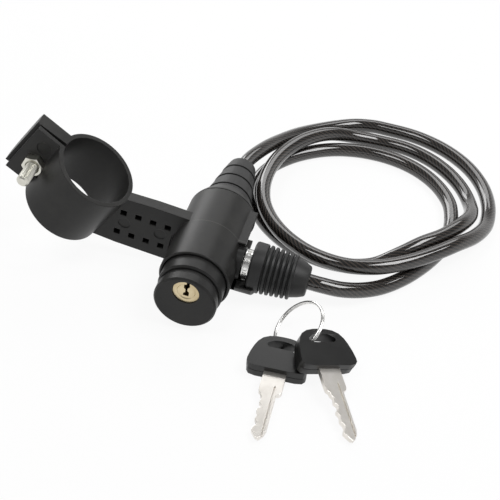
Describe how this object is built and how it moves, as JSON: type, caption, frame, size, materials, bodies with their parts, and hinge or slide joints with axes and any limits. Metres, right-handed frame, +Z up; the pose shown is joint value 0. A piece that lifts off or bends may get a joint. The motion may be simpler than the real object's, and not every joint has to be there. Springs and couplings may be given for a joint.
{
  "type": "cable_lock",
  "caption": "Bicycle cable lock with a keyed barrel, coiled coated cable, ribbed boots, a frame-tube bracket with a bolted collar, and a pair of keys on a ring",
  "frame": {"origin": "Middle of the rigid pieces' footprint on the surface that the lock lies on", "axes": "+Z up, keyhole faces -Y, bracket on -X, plug and coil on +X"},
  "size_m": [0.1967, 0.2035, 0.058],
  "materials": {
    "black_plastic": "moulded, satin",
    "black_rubber": "moulded boots",
    "cable_coating": "smoky clear coating over steel rope",
    "brass": "turned, fine satin",
    "chrome": "polished plate",
    "zinc_steel": "zinc plated",
    "cast_zinc": "die cast",
    "nickel": "nickel plated, stamped"
  },
  "bodies": {
    "lock": {"lock_housing": "black_plastic", "rear_cap": "black_plastic", "cylinder_shell": "cast_zinc", "plug_retaining_pin": "zinc_steel", "port_bush": "zinc_steel", "cable_anchor": "cast_zinc", "anchor_pin": "zinc_steel", "boot_a": "black_rubber", "cable_lead": "cable_coating", "cable_coil": "cable_coating", "cable_tail": "cable_coating"},
    "key_plug": {"key_plug": "brass", "wafers": "brass", "wafer_springs": "zinc_steel"},
    "latch": {"latch": "zinc_steel"},
    "cable_plug": {"plug_pin": "zinc_steel", "plug_ferrule": "chrome", "boot_b": "black_rubber"},
    "bracket": {"frame_bracket": "black_plastic", "clamp_bolt": "zinc_steel", "clamp_nut": "zinc_steel"},
    "key_ring": {"key_ring": "nickel"},
    "key_1": {"key_1_blade": "nickel", "key_1_head": "black_plastic"},
    "key_2": {"key_2_blade": "nickel", "key_2_head": "black_plastic"}
  },
  "joints": [
    {"name": "key_turn", "type": "hinge", "parent": "lock", "child": "key_plug", "pos_m": [0.00607, 0.00225, 0.01967], "axis": [0, -1, 0], "range_deg": [-90, 0]},
    {"name": "latch_slide", "type": "slide", "parent": "lock", "child": "latch", "axis": [-0.1045, 0, -0.9945], "range_m": [0, 0.0016]},
    {"name": "plug_pull", "type": "slide", "parent": "lock", "child": "cable_plug", "axis": [0.9945, 0, -0.1045], "range_m": [0, 0.018], "deforming": ["cable_tail"]},
    {"name": "bracket_slide", "type": "slide", "parent": "lock", "child": "bracket", "axis": [0, -1, 0], "range_m": [0, 0.05]},
    {"name": "keys_lift", "type": "slide", "parent": "lock", "child": "key_ring", "axis": [0, 0, 1], "range_m": [0, 0.06]},
    {"name": "key_1_swing", "type": "hinge", "parent": "key_ring", "child": "key_1", "pos_m": [0.04677, -0.02545, 0.00368], "axis": [0.0198, -0.0363, 0.9991], "range_deg": [-20, 0]},
    {"name": "key_2_swing", "type": "hinge", "parent": "key_ring", "child": "key_2", "pos_m": [0.05482, -0.02486, 0.01041], "axis": [0.3329, -0.0186, 0.9428], "range_deg": [0, 20]}
  ],
  "couplings": [
    {"joint": "latch_slide", "follows": "key_turn", "m_per_rad": -0.0010186}
  ]
}
